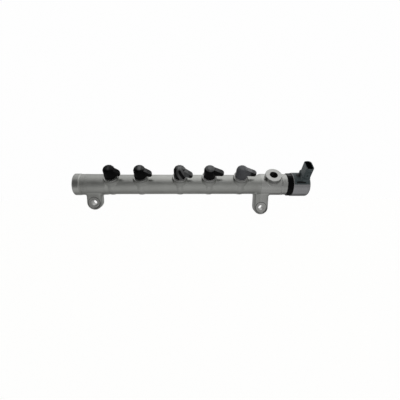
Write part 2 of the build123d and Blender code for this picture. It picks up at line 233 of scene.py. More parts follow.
class SurfaceEffects:
    """The shader groups that several finishes share."""

    noise_span: Span = (0.3, 0.7)
    wear_span: Span = (0.01, 0.18)
    bevel_samples: int = 6

    def __init__(self) -> None:
        """Build every group once."""
        self.grain = self._grain()
        self.edge = self._edge()
        self.lathe = self._lathe()
        self.zone = self._zone()

    def _grain(self) -> NodeTree:
        """Make fine grain and broad mottle, both from 0 to 1.

        Returns:
            The group.
        """
        graph = Group("surface_grain", {"Coordinate": ORIGIN, "Grain Size": 0.4, "Mottle Size": 12.0},
                      {"Grain": 0.0, "Mottle": 0.0})
        for name, detail in (("Grain", 2.0), ("Mottle", 4.0)):
            scale = graph.math("DIVIDE", 1.0 / MM, graph.reads[f"{name} Size"])
            noise = graph.add("ShaderNodeTexNoise",
                              {"Vector": graph.reads["Coordinate"], "Scale": scale, "Detail": detail})
            graph.feed(graph.writes[name], graph.spread(noise, self.noise_span))
        return graph.tree

    def _edge(self) -> NodeTree:
        """Make the mask of edges, inner and outer alike, with the normal rounded over them; it marks wear and
        scuffs, and on the forged rail also a painted highlight.

        Returns:
            The group.
        """
        graph = Group("edge_wear", {"Width": 0.4, "Breakup": 0.5}, {"Mask": 0.0, "Normal": ORIGIN})
        bevel = graph.add("ShaderNodeBevel", {"Radius": graph.math("MULTIPLY", graph.reads["Width"], MM)},
                          samples=self.bevel_samples)
        normal = graph.node("ShaderNodeNewGeometry").outputs["Normal"]
        sharp = graph.minus(1.0, graph.number("DOT_PRODUCT", bevel, normal))
        worn = graph.times(sharp, graph.math("ADD", graph.reads["Breakup"], 0.5))
        graph.feed(graph.writes["Mask"], graph.spread(worn, self.wear_span))
        graph.feed(graph.writes["Normal"], bevel)
        return graph.tree

    def _lathe(self) -> NodeTree:
        """Make the height of the fine rings that a turning tool leaves along one direction.

        Returns:
            The group.
        """
        graph = Group("lathe_lines", {"Coordinate": ORIGIN, "Direction": X_AXIS, "Pitch": 0.3},
                      {"Height": 0.0})
        along = graph.number("DOT_PRODUCT", graph.reads["Coordinate"], graph.reads["Direction"])
        steps = graph.math("DIVIDE", graph.math("DIVIDE", along, MM), graph.reads["Pitch"])
        noise = graph.add("ShaderNodeTexNoise", {"W": steps, "Scale": 1.0, "Detail": 1.0},
                          noise_dimensions="1D")
        graph.feed(graph.writes["Height"], noise)
        return graph.tree

    def _zone(self) -> NodeTree:
        """Make the mask of what lies past one plane.

        Returns:
            The group.
        """
        graph = Group("machined_zone",
                      {"Coordinate": ORIGIN, "Direction": Z_AXIS, "Start": 10.0, "Blur": 0.1}, {"Mask": 0.0})
        along = graph.number("DOT_PRODUCT", graph.reads["Coordinate"], graph.reads["Direction"])
        past = graph.minus(graph.math("DIVIDE", along, MM), graph.reads["Start"])
        graph.feed(graph.writes["Mask"], graph.math("DIVIDE", past, graph.reads["Blur"], clamp=True))
        return graph.tree


# ---- geometry node helpers


class Tree(Group):
    """A geometry node tree with named inputs, filled by its builder."""

    def __init__(self, name: str, inputs: dict) -> None:
        """Start the tree with its inputs' defaults; the material is one more input."""
        super().__init__(name, {**inputs, "Material": None}, {"Geometry": None}, "GeometryNodeTree")

    def joined(self, x: Source = 0.0, y: Source = 0.0, z: Source = 0.0) -> Socket:
        """Make a vector from three values."""
        return self.add("ShaderNodeCombineXYZ", {0: x, 1: y, 2: z})

    def index(self) -> Socket:
        """Return the index of each element."""
        return self.add("GeometryNodeInputIndex")

    def line(self, count: Source, step: Source = ORIGIN) -> Socket:
        """Lay points in a row, or stack them where the step is nothing."""
        return self.add("GeometryNodeMeshLine", {"Count": count, "Offset": step})

    def circle(self, radius: Source, sides: int) -> Socket:
        """Make a circle as a curve with so many sides."""
        return self.add("GeometryNodeCurvePrimitiveCircle", {"Resolution": sides, "Radius": radius})

    def tube(self, curve: Socket, radius: Source, sides: int, fill: bool = True) -> Socket:
        """Sweep a bar of so many sides along a curve, with its ends filled or open."""
        profile = self.circle(radius, sides)
        return self.add("GeometryNodeCurveToMesh",
                        {"Curve": curve, "Profile Curve": profile, "Fill Caps": fill})

    def copies(self, points: Socket, piece: Socket, turn: Source = ORIGIN) -> Socket:
        """Put a copy of a piece on each point, turned."""
        return self.add("GeometryNodeInstanceOnPoints",
                        {"Points": points, "Instance": piece, "Rotation": turn})

    def close(self, geometry: Socket, smooth: bool = True) -> NodeTree:
        """End the tree in real, finished mesh.

        Args:
            geometry: What the tree has made.
            smooth: Whether its faces are shaded smooth.

        Returns:
            The finished tree.
        """
        real = self.add("GeometryNodeRealizeInstances", {0: geometry})
        shade = self.add("GeometryNodeSetShadeSmooth", {"Geometry": real, "Shade Smooth": smooth})
        dress = self.add("GeometryNodeSetMaterial", {"Geometry": shade, "Material": self.reads["Material"]})
        self.feed(self.writes["Geometry"], dress)
        return self.tree


def grown(name: str, tree: NodeTree, place: Matrix, slot: str, **values: object) -> None:
    """Run a geometry node tree and keep its result as a plain mesh that rides on the rail.

    Args:
        name: The piece's name.
        tree: The tree to run.
        place: Matrix from the tree's own frame to the rail's, in millimetres.
        slot: Not used.
        **values: The tree's inputs, with underscores for spaces.
    """
    carrier = bpy.data.objects.new(f"{name}_carrier", bpy.data.meshes.new(f"{name}_empty"))
    bpy.context.scene.collection.objects.link(carrier)
    modifier = carrier.modifiers.new(name, "NODES")
    modifier.node_group = tree
    keys = {entry.name: entry.identifier for entry in tree.interface.items_tree if entry.in_out == "INPUT"}
    for label, value in values.items():
        modifier[keys[label.replace("_", " ")]] = value
    seen = carrier.evaluated_get(bpy.context.evaluated_depsgraph_get())
    mesh = bpy.data.meshes.new_from_object(seen)
    carrier.modifiers.clear()
    bpy.data.objects.remove(carrier)
    mesh.name = name
    mesh.transform(Matrix.Scale(MM, 4) @ place)
    made = bpy.data.objects.new(name, mesh)
    bpy.context.scene.collection.objects.link(made)
    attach(made, BODY)
    log.info("made %s: %d faces", name, len(mesh.polygons))


# ---- the object's sizes


@dataclass(frozen=True)
class RailSizes:
    """Places on the rail, in millimetres, which repeat the CAD's own sizes."""

    port_x: Tuple[float, ...] = (49.4, 87.3, 138.1, 176.5, 218.1)
    port_lean: float = 41.0
    boss_face: float = 16.8
    boss_reach: float = 11.2
    nipple_tip: float = 30.5
    end_band: float = 8.4
    neck_r: float = 13.7
    valve_end: float = 246.0
    length: float = 282.0
    lug_x: Span = (25.5, 248.1)
    lug_z: Span = (-23.2, -30.8)
    spotface: float = 7.0
    bolt_hole: float = 3.5
    return_x: float = 261.2
    return_face: float = 19.9
    return_core: float = 5.25
    return_depth: float = 9.5
    sensor_core: float = 8.2
    sensor_depth: float = 14.0
    plug_x: float = 304.3
    plug_lean: float = 35.0
    plug_reach: float = 34.6
    plug_depth: float = 12.5
    plug_width: float = 7.8
    plug_span: float = 14.6
    plug_corner: float = 2.9

    @property
    def port_axis(self) -> Triple:
        """Direction that the ports point in."""
        return (0.0, -sin(radians(self.port_lean)), cos(radians(self.port_lean)))

    @staticmethod
    def behind(lean: float) -> Triple:
        """Direction that lies behind an axis of so much lean, square to it and to the rail."""
        return (0.0, cos(radians(lean)), sin(radians(lean)))


def leaning(x: float, lean: float, height: float, turn: float = 0.0) -> Matrix:
    """Find the frame of a port or the plug, with z along its axis.

    Args:
        x: Place along the rail, in millimetres.
        lean: Angle from upright towards the front, in degrees.
        height: Distance out from the rail's axis, in millimetres.
        turn: Turn about the port's axis, in degrees.

    Returns:
        The matrix from the port's own frame to the rail's, in millimetres.
    """
    tilt = Matrix.Rotation(radians(lean), 4, "X")
    spin = Matrix.Rotation(radians(turn), 4, "Z")
    return Matrix.Translation((x, 0.0, 0.0)) @ tilt @ Matrix.Translation((0.0, 0.0, height)) @ spin


# ---- finishes


class Surface(Graph):
    """A material's graph, which knows where each shaded point lies and how it faces."""

    def __init__(self, name: str, effects: SurfaceEffects) -> None:
        """Start an empty material.

        Args:
            name: The material's name.
            effects: The shared shader groups.
        """
        self.material = bpy.data.materials.new(name)
        self.material.use_nodes = True
        super().__init__(self.material.node_tree)
        self.effects = effects
        self.shader = self.found("BSDF_PRINCIPLED")
        self.place = self.node("ShaderNodeTexCoord").outputs["Object"]

    def facing(self, direction: Triple) -> Socket:
        """Return how far the surface faces a direction, from -1 to 1."""
        return self.number("DOT_PRODUCT", self.node("ShaderNodeNewGeometry").outputs["Normal"], direction)

    def along(self, direction: Triple) -> Socket:
        """Return the distance along a direction from the rail's origin, in millimetres."""
        return self.math("DIVIDE", self.number("DOT_PRODUCT", self.place, direction), MM)

    def reach(self, centre: Triple, axes: Triple = (1.0, 1.0, 1.0)) -> Socket:
        """Return the distance in millimetres from a point, over the axes that aren't 0."""
        away = self.vector("SUBTRACT", self.place, tuple(part * MM for part in centre))
        return self.math("DIVIDE", self.number("LENGTH", self.vector("MULTIPLY", away, axes)), MM)

    def zone(self, direction: Triple, start: float, blur: float = 0.1,
             place: Optional[Socket] = None) -> Socket:
        """Return the mask of what lies past a plane.

        Args:
            direction: The plane's normal.
            start: Its distance from the rail's origin, in millimetres.
            blur: How far the mask takes to rise, in millimetres.
            place: The coordinate to read, where it isn't the object's own.

        Returns:
            The mask.
        """
        read = self.place if place is None else place
        past = self.group(self.effects.zone, Coordinate=read, Direction=direction, Start=start, Blur=blur)
        return past.outputs[0]

    def finish(self, height: Socket, normal: Optional[Socket] = None, **inputs: Source) -> Material:
        """Feed the shader.

        Args:
            height: Height of the surface's texture, in metres.
            normal: The normal that the texture tilts.
            **inputs: What feeds the shader's other sockets, with underscores for spaces.

        Returns:
            The finished material.
        """
        bump = self.node("ShaderNodeBump", {"Strength": 1.0, "Distance": 1.0, "Height": height})
        if normal is not None:
            self.feed(bump.inputs["Normal"], normal)
        self.feed(self.shader.inputs["Normal"], bump.outputs[0])
        for name, source in inputs.items():
            self.feed(self.shader.inputs[name.replace("_", " ")], source)
        return self.material


@dataclass(frozen=True)
class RailMasks:
    """Masks over the forging, found from where each point lies on it; lengths are millimetres."""

    surface: Surface
    rail: RailSizes = RailSizes()
    step_before: float = 2.0
    step_ends: Span = (2.0, 4.0)
    step_r: float = 14.7
    face_below: float = 0.3
    # Painted highlight on the boss faces: how it rises past the first two ports and drops on the return boss.
    highlight_rise: Span = (0.25, 0.62)
    highlight_drop: float = 0.47
    spotface_rim: float = 0.3
    # Painted shade: under the bosses' rims, then inside the return port, then in a ring round each spotface.
    painted_shade_from: float = -3.6
    painted_shade_blur: float = 2.4
    painted_shade_to: float = -0.5
    painted_shade_to_blur: float = 0.2
    painted_shade_edge: float = 0.8
    painted_shade_level: float = 0.5
    port_wall: Span = (0.05, 0.25)
    port_level: float = 0.95
    moat_inner: Span = (-0.4, 0.2)
    moat_outer: Span = (1.2, 1.7)
    moat_level: float = 0.5

    def lowered(self) -> Socket:
        """Shift the taller return boss down its axis, so that every boss face lies at one height.

        Returns:
            The shifted coordinate.
        """
        rail, surface = self.rail, self.surface
        past = surface.math("GREATER_THAN", surface.along(X_AXIS), rail.lug_x[1])
        drop = tuple(part * (rail.return_face - rail.boss_face) * MM for part in rail.port_axis)
        return surface.vector("SUBTRACT", surface.place, surface.scaled(drop, past))

    def boss_faces(self) -> Socket:
        """Find the cut faces of the bosses."""
        start = self.rail.boss_face - self.face_below
        return self.surface.zone(self.rail.port_axis, start, place=self.lowered())

    def step(self) -> Socket:
        """Find the soft forged step where the valve end begins.

        Returns:
            The mask.
        """
        surface = self.surface
        off = surface.apart(surface.along(X_AXIS), self.rail.valve_end - self.step_before)
        near = surface.math("LESS_THAN", surface.reach(ORIGIN, ROUND_RAIL), self.step_r)
        return surface.times(near, surface.spread(off, self.step_ends, 1.0, 0.0))

    def painted_highlight(self) -> Socket:
        """Find how much painted highlight a boss face gets: more past the first two ports, less on the return
        boss.

        Returns:
            The mask.
        """
        rail, surface = self.rail, self.surface
        along = surface.along(X_AXIS)
        rising = surface.spread(along, rail.port_x[1:3], *self.highlight_rise)
        falling = surface.spread(along, (rail.lug_x[1], rail.return_x), 0.0, self.highlight_drop)
        return surface.times(self.boss_faces(), surface.minus(rising, falling))

    def machined(self) -> Socket:
        """Find the cut faces of the rail: boss faces, turned ends and lug spotfaces.

        Returns:
            The mask.
        """
        rail, surface = self.rail, self.surface
        parts = [self.boss_faces(), surface.zone((-1.0, 0.0, 0.0), -rail.end_band),
                 surface.zone(X_AXIS, rail.valve_end)]
        for x, z in zip(rail.lug_x, rail.lug_z):
            reach = surface.reach((x, 0.0, z), ROUND_BOLT)
            disc = surface.spread(reach, (rail.bolt_hole, rail.spotface), 1.0, self.spotface_rim)
            parts.append(surface.times(disc, surface.math("LESS_THAN", reach, rail.spotface)))
        return surface.largest(*parts)

    def near_boss(self) -> Socket:
        """Find what lies within a boss's width of some port's axis.

        Returns:
            The mask.
        """
        rail, surface = self.rail, self.surface
        along = surface.along(X_AXIS)
        nearest: Source = rail.length
        for x in (*rail.port_x, rail.return_x):
            nearest = surface.math("MINIMUM", nearest, surface.apart(along, x))
        back = surface.along(rail.behind(rail.port_lean))
        square = surface.math("MULTIPLY_ADD", back, back, surface.times(nearest, nearest))
        edge = (rail.boss_reach, rail.boss_reach + self.painted_shade_edge)
        return surface.spread(surface.math("SQRT", square), edge, 1.0, 0.0)

    def painted_shade(self) -> Socket:
        """Find where shade is painted: under the bosses' rims, in the return port and round the spotfaces.

        Returns:
            The mask.
        """
        rail, surface = self.rail, self.surface
        rise = surface.zone(rail.port_axis, rail.boss_face + self.painted_shade_from, self.painted_shade_blur)
        top = surface.zone(rail.port_axis, rail.boss_face + self.painted_shade_to, self.painted_shade_to_blur, self.lowered())
        under = surface.math("SUBTRACT", rise, top, clamp=True)
        parts = [surface.times(under, self.painted_shade_level, self.near_boss())]
        from_port = surface.vector("SUBTRACT", surface.place, (rail.return_x * MM, 0.0, 0.0))
        across = surface.number("LENGTH", surface.vector("CROSS_PRODUCT", from_port, rail.port_axis))
        wall = tuple(rail.return_core + part for part in self.port_wall)
        parts.append(surface.spread(surface.math("DIVIDE", across, MM), wall, self.port_level, 0.0))
        for x, z in zip(rail.lug_x, rail.lug_z):
            reach = surface.reach((x, 0.0, z), ROUND_BOLT)
            inner, outer = (
                surface.spread(reach, tuple(rail.spotface + part for part in edge), 0.0, self.moat_level)
                for edge in (self.moat_inner, self.moat_outer)
            )
            parts.append(surface.minus(inner, outer))
        return surface.largest(*parts)


class Grade(Enum):
    """How a metal surface was left."""

    FORGED = "forged"
    PLATED = "plated"
    BLACKED = "blacked"


@dataclass(frozen=True)
class Finish:
    """What every finish has: a name, a colour, a gloss and a grain."""

    name: str
    colour: Triple
    roughness: float
    gloss_span: Span = (-0.04, 0.05)
    grain_size: float = 0.45
    grain_height: float = 0.04
    mottle_size: float = 14.0

    def shade(self, factor: float) -> Triple:
        """Return the colour made darker or lighter, but not past white."""
        return tuple(min(1.0, part * factor) for part in self.colour)

    def grain(self, surface: Surface) -> Tuple[Socket, Socket]:
        """Return the fine grain and the broad mottle, both from 0 to 1."""
        made = surface.group(surface.effects.grain, Coordinate=surface.place, Grain_Size=self.grain_size,
                             Mottle_Size=self.mottle_size)
        return made.outputs["Grain"], made.outputs["Mottle"]

    def gloss(self, surface: Surface, pattern: Socket) -> Socket:
        """Return the roughness, which varies a little with a pattern from 0 to 1."""
        return surface.spread(pattern, (0.0, 1.0), *(self.roughness + part for part in self.gloss_span))

    def build(self, effects: SurfaceEffects) -> Material:
        """Make the material; each finish has its own recipe."""
        raise NotImplementedError


@dataclass(frozen=True)
class Metal(Finish):
    """Metal with grain and worn edges; forged steel also shows its cut faces, its step, edges that are partly
    a painted highlight, a painted highlight on its boss faces and painted shade under its bosses, in the
    return port and round its spotfaces.
    """

    grade: Grade = Grade.PLATED
    mottle: float = 0.10
    speckle: float = 0.25
    edge_width: float = 0.45
    step_width: float = 2.2
    wear: float = 0.7
    worn: Triple = (0.72, 0.72, 0.69)
    lathe_pitch: float = 0.35
    lathe_height: float = 0.004
    blacked_metal: float = 0.9
    machined_wear: float = 0.55
    machined_gloss: float = 0.14
    # Colour of the painted shade under the bosses' rims, in the return port and round the spotfaces.
    painted_shade: Triple = (0.06, 0.06, 0.057)
    # Colour and strength of the painted highlight on the boss faces.
    painted_highlight: Triple = (1.0, 1.0, 0.98)
    painted_highlight_strength: float = 1.3
    step_lift: float = 4.0

    def build(self, effects: SurfaceEffects) -> Material:
        """Make the metal.

        Args:
            effects: The shared shader groups.

        Returns:
            The material.
        """
        surface = Surface(self.name, effects)
        masks = RailMasks(surface)
        forged = self.grade is Grade.FORGED
        fine, broad = self.grain(surface)
        step = masks.step() if forged else 0.0
        width = surface.math("MULTIPLY_ADD", step, self.step_width, self.edge_width)
        edge = surface.group(effects.edge, Width=width, Breakup=broad)
        dark = self.shade(1.0 - self.mottle)
        colour = surface.mix(broad, dark, self.shade(1.0 + self.mottle))
        colour = surface.mix(surface.times(fine, self.speckle), colour, dark)
        wear = surface.math("MULTIPLY_ADD", step, -self.wear, self.wear)
        # Edges, inner and outer alike, turn towards the worn colour: wear, and on the forged rail, with its
        # wide bevel and pale worn colour, also a painted highlight along edges and fillets.
        colour = surface.mix(surface.times(edge.outputs["Mask"], wear), colour, self.worn)
        rough = self.gloss(surface, broad)
        lines = surface.group(effects.lathe, Coordinate=surface.place, Direction=X_AXIS,
                              Pitch=self.lathe_pitch)
        height = surface.times(fine, self.grain_height * MM)
        ring = surface.times(lines.outputs["Height"], self.lathe_height * MM)
        normal = edge.outputs["Normal"]
        metal: Source = self.blacked_metal if self.grade is Grade.BLACKED else 1.0
        if forged:
            machined, painted_highlight = masks.machined(), masks.painted_highlight()
            colour = surface.mix(surface.times(machined, self.machined_wear), colour, self.worn)
            # Painted shade: darker under the bosses' rims, inside the return port and in a ring round each
            # spotface.
            colour = surface.mix(masks.painted_shade(), colour, self.painted_shade)
            # Painted highlight: the boss faces turn near white, standing in for the bright light they
            # reflect.
            highlighted = surface.math("MULTIPLY", painted_highlight, self.painted_highlight_strength, clamp=True)
            colour = surface.mix(highlighted, colour, self.painted_highlight)
            rough = surface.minus(rough, surface.times(machined, self.machined_gloss))
            height = surface.times(height, surface.minus(1.0, machined))
            ring = surface.times(ring, machined)
            normal = self.softened(surface, normal, step)
            # The painted highlight also takes the metal out of the boss faces, so they light up like a matt
            # surface.
            metal = surface.minus(1.0, painted_highlight)
        return surface.finish(surface.math("ADD", height, ring), normal, Base_Color=colour, Roughness=rough,
                              Metallic=metal)

    def softened(self, surface: Surface, normal: Socket, step: Source) -> Socket:
        """Turn the normal outwards from the rail's axis over the soft forged step.

        Args:
            surface: The surface.
            normal: The normal so far.
            step: Mask of the step.

        Returns:
            The turned normal.
        """
        outward = surface.vector("NORMALIZE", surface.vector("MULTIPLY", surface.place, ROUND_RAIL))
        lift = surface.scaled(outward, surface.times(step, self.step_lift))
        return surface.vector("NORMALIZE", surface.vector("ADD", normal, lift))


@dataclass(frozen=True)
class Plastic(Finish):
    """Moulded plastic or rubber with a faint skin texture and pale scuffs on its edges."""

    grain_size: float = 0.35
    grain_height: float = 0.02
    mottle_size: float = 6.0
    tones: Span = (0.85, 1.18)
    scuff: Triple = (0.12, 0.12, 0.12)
    scuffing: float = 0.3
    edge_width: float = 0.35
    gloss_span: Span = (-0.05, 0.07)
    specular: float = 0.5

    def build(self, effects: SurfaceEffects) -> Material:
        """Make the plastic.

        Args:
            effects: The shared shader groups.

        Returns:
            The material.
        """
        surface = Surface(self.name, effects)
        fine, broad = self.grain(surface)
        edge = surface.group(effects.edge, Width=self.edge_width, Breakup=broad)
        colour = surface.mix(broad, *(self.shade(tone) for tone in self.tones))
        colour = surface.mix(surface.times(edge.outputs["Mask"], self.scuffing), colour, self.scuff)
        colour, shine = self.marked(surface, colour)
        rough = self.gloss(surface, broad)
        height = surface.times(fine, self.grain_height * MM)
        return surface.finish(height, edge.outputs["Normal"], Base_Color=colour, Roughness=rough,
                              Metallic=shine, Specular_IOR_Level=self.specular)

    def marked(self, surface: Surface, colour: Socket) -> Tuple[Socket, Source]:
        """Add one piece's painted highlights and painted shade to the plastic's colour and shine; plain
        plastic has none.
        """
        return colour, 0.0


@dataclass(frozen=True)
class CapPlastic(Plastic):
    """Cap plastic with painted highlights on the crown and on faces towards the light, painted highlights
    along flutes and painted shade on the tab's tip.
    """

    specular: float = 0.10
    scuffing: float = 0.03
    # Painted highlights: their grey, the light they face, how much falls on the crown and on faces towards
    # the light, and a narrower spot on the crown.
    pale: Triple = (0.32, 0.325, 0.33)
    light_from: Triple = (0.5, -0.57, 0.65)
    crown: float = 0.60
    crown_from: float = 32.7
    crown_blur: float = 0.7
    sheen: float = 0.34
    sheen_span: Span = (0.90, 0.98)
    spot_x: float = 0.0
    spot_half: float = 0.0
    spot_edge: Span = (0.5, 1.5)
    spot_rest: float = 0.3
    # Painted shade on the tab's tip, on the faces turned from the light.
    tip_x: float = 0.0
    tip_blur: float = 2.5
    tip_span: Span = (0.45, 0.75)
    tip_rest: float = 0.35
    tip: Triple = (0.003, 0.003, 0.003)
    # Painted highlights in stripes along the third cap's flutes, on faces turned to the side and the back.
    flute_highlights: float = 0.0
    flute_count: int = 6
    flute_twist: float = 3.2
    flute_start: float = -88.0
    flute_level: float = 22.5
    flute_wave: Span = (-0.15, 0.25)
    flute_side: Span = (-0.50, -0.20)
    flute_back: Span = (0.0, 0.5)
    flute_rest: float = 0.25

    def marked(self, surface: Surface, colour: Socket) -> Tuple[Socket, Source]:
        """Add the cap's painted highlights and the painted shade on its tab's tip.

        Args:
            surface: The surface.
            colour: The plastic's colour so far.

        Returns:
            The marked colour, and how much the surface shines.
        """
        # Painted highlights along the flutes.
        if self.flute_highlights:
            colour = surface.mix(surface.times(self.flute_highlight_mask(surface), self.flute_highlights), colour, self.pale)
        # Painted highlights on the crown, narrowed to a spot on some caps, and on faces towards the light.
        facing = surface.facing(self.light_from)
        crown = surface.zone(RailSizes().port_axis, self.crown_from, self.crown_blur)
        if self.spot_half:
            off = surface.apart(surface.along(X_AXIS), self.spot_x)
            edge = tuple(self.spot_half * part for part in self.spot_edge)
            crown = surface.times(crown, surface.spread(off, edge, 1.0, self.spot_rest))
        sheen = surface.times(surface.spread(facing, self.sheen_span), self.sheen)
        light = surface.largest(sheen, surface.times(crown, self.crown))
        # Painted shade on the tab's tip where it turns from the light.
        if self.tip_x:
            tip = surface.zone(X_AXIS, self.tip_x, self.tip_blur)
            tip = surface.times(tip, surface.spread(facing, self.tip_span, 1.0, self.tip_rest))
            colour = surface.mix(tip, colour, self.tip)
        # The painted highlights turn the colour grey and the surface metallic, so they catch the studio's
        # light.
        return surface.mix(light, colour, self.pale), light

    def flute_highlight_mask(self, surface: Surface) -> Socket:
        """Find the painted highlights along the wide flutes that wind up the third cap.

        Args:
            surface: The surface.

        Returns:
            The mask.
        """
        rail = RailSizes()
        side = surface.minus(surface.along(X_AXIS), rail.port_x[2])
        back = surface.along(rail.behind(rail.port_lean))
        rise = surface.minus(surface.along(rail.port_axis), self.flute_level)
        turn = surface.times(rise, radians(self.flute_twist))
        angle = surface.math("ADD", surface.math("ARCTAN2", back, side), turn)
        phase = surface.minus(angle, radians(self.flute_start))
        wave = surface.math("COSINE", surface.times(phase, float(self.flute_count)))
        side_lit = surface.spread(surface.facing(X_AXIS), self.flute_side)
        back_lit = surface.spread(surface.facing(Y_AXIS), self.flute_back, 1.0, self.flute_rest)
        return surface.times(surface.spread(wave, self.flute_wave), side_lit, back_lit)


@dataclass(frozen=True)
class PlugPlastic(Plastic):
    """Connector plastic with painted shade in a crease, in two spots and on the socket walls, painted light
    on its left side and painted shade on its right.
    """

    # Painted shade: two dark spots and a shadow along a crease; then the near-black colour of all painted
    # shade here, socket walls included.
    shadow_spots: Tuple[Tuple[Triple, float], ...] = (((296.2, -8.2, 13.6), 3.6), ((303.0, -20.8, 14.6), 1.0))
    shadow_spot_edge: Span = (0.6, 1.4)
    crease_shadow: Span = (292.0, 304.5)
    crease_shadow_end: float = 0.6
    crease_shadow_level: float = 5.3
    crease_shadow_edge: Span = (0.85, 1.3)
    shade_colour: Triple = (0.003, 0.004, 0.005)
    # Painted light on the left side, then painted shade on the right side.
    pale: Triple = (0.30, 0.33, 0.34)
    lit_side: Triple = (-0.96, -0.20, 0.20)
    lit_span: Span = (0.80, 0.97)
    lit_level: float = 0.8
    dim: Triple = (0.01, 0.012, 0.013)
    dim_span: Span = (0.3, 0.9)
    dim_level: float = 0.6
    socket_margin: float = 0.03

    def marked(self, surface: Surface, colour: Socket) -> Tuple[Socket, Source]:
        """Paint shade into the crease, the two spots and the socket walls, light onto the left side and shade
        onto the right.

        Args:
            surface: The surface.
            colour: The plastic's colour so far.

        Returns:
            The marked colour, and how much the surface shines.
        """
        # Painted shade in the crease, on the socket walls and in two spots.
        parts = [self.crease_shadow_mask(surface), self.socket_shade_mask(surface)]
        for centre, reach in self.shadow_spots:
            edge = tuple(reach * part for part in self.shadow_spot_edge)
            parts.append(surface.spread(surface.reach(centre), edge, 1.0, 0.0))
        # Painted light on the left side, painted shade on the right.
        lit = surface.spread(surface.facing(self.lit_side), self.lit_span, 0.0, self.lit_level)
        colour = surface.mix(lit, colour, self.pale)
        dim = surface.spread(surface.facing(X_AXIS), self.dim_span, 0.0, self.dim_level)
        colour = surface.mix(dim, colour, self.dim)
        return surface.mix(surface.largest(*parts), colour, self.shade_colour), 0.0

    def crease_shadow_mask(self, surface: Surface) -> Socket:
        """Find the painted shadow of the crease along the moulding's front.

        Args:
            surface: The surface.

        Returns:
            The mask.
        """
        along = surface.along(X_AXIS)
        start, end = ((x - self.crease_shadow_end, x + self.crease_shadow_end) for x in self.crease_shadow)
        off = surface.apart(surface.along(Z_AXIS), self.crease_shadow_level)
        front = surface.math("LESS_THAN", surface.along(Y_AXIS), 0.0)
        return surface.times(surface.spread(along, start), surface.spread(along, end, 1.0, 0.0),
                             surface.spread(off, self.crease_shadow_edge, 1.0, 0.0), front)

    def socket_shade_mask(self, surface: Surface) -> Socket:
        """Find the walls inside the plug's socket, which get painted shade.

        Args:
            surface: The surface.

        Returns:
            The mask.
        """
        rail = RailSizes()
        side = surface.apart(surface.along(X_AXIS), rail.plug_x)
        back = surface.math("ABSOLUTE", surface.along(rail.behind(rail.plug_lean)))
        inside = [surface.math("LESS_THAN", off, width / 2 + self.socket_margin)
                  for off, width in ((side, rail.plug_width), (back, rail.plug_span))]
        return surface.times(*inside)


@dataclass(frozen=True)
class Winding(Finish):
    """Enamelled copper wire laid in close turns about the rail's axis."""

    wire: float = 0.5
    wire_height: float = 0.1
    grain_size: float = 0.8
    mottle_size: float = 5.0
    dull: float = 0.7
    gloss_span: Span = (-0.1, 0.1)

    def build(self, effects: SurfaceEffects) -> Material:
        """Make the wire.

        Args:
            effects: The shared shader groups.

        Returns:
            The material.
        """
        surface = Surface(self.name, effects)
        fine, broad = self.grain(surface)
        colour = surface.mix(broad, self.shade(self.dull), self.colour)
        rough = self.gloss(surface, fine)
        turns = surface.math("SINE", surface.times(surface.along(X_AXIS), 2 * pi / self.wire))
        return surface.finish(surface.times(turns, self.wire_height * MM), Base_Color=colour, Roughness=rough,
                              Metallic=1.0)


# ---- dressing


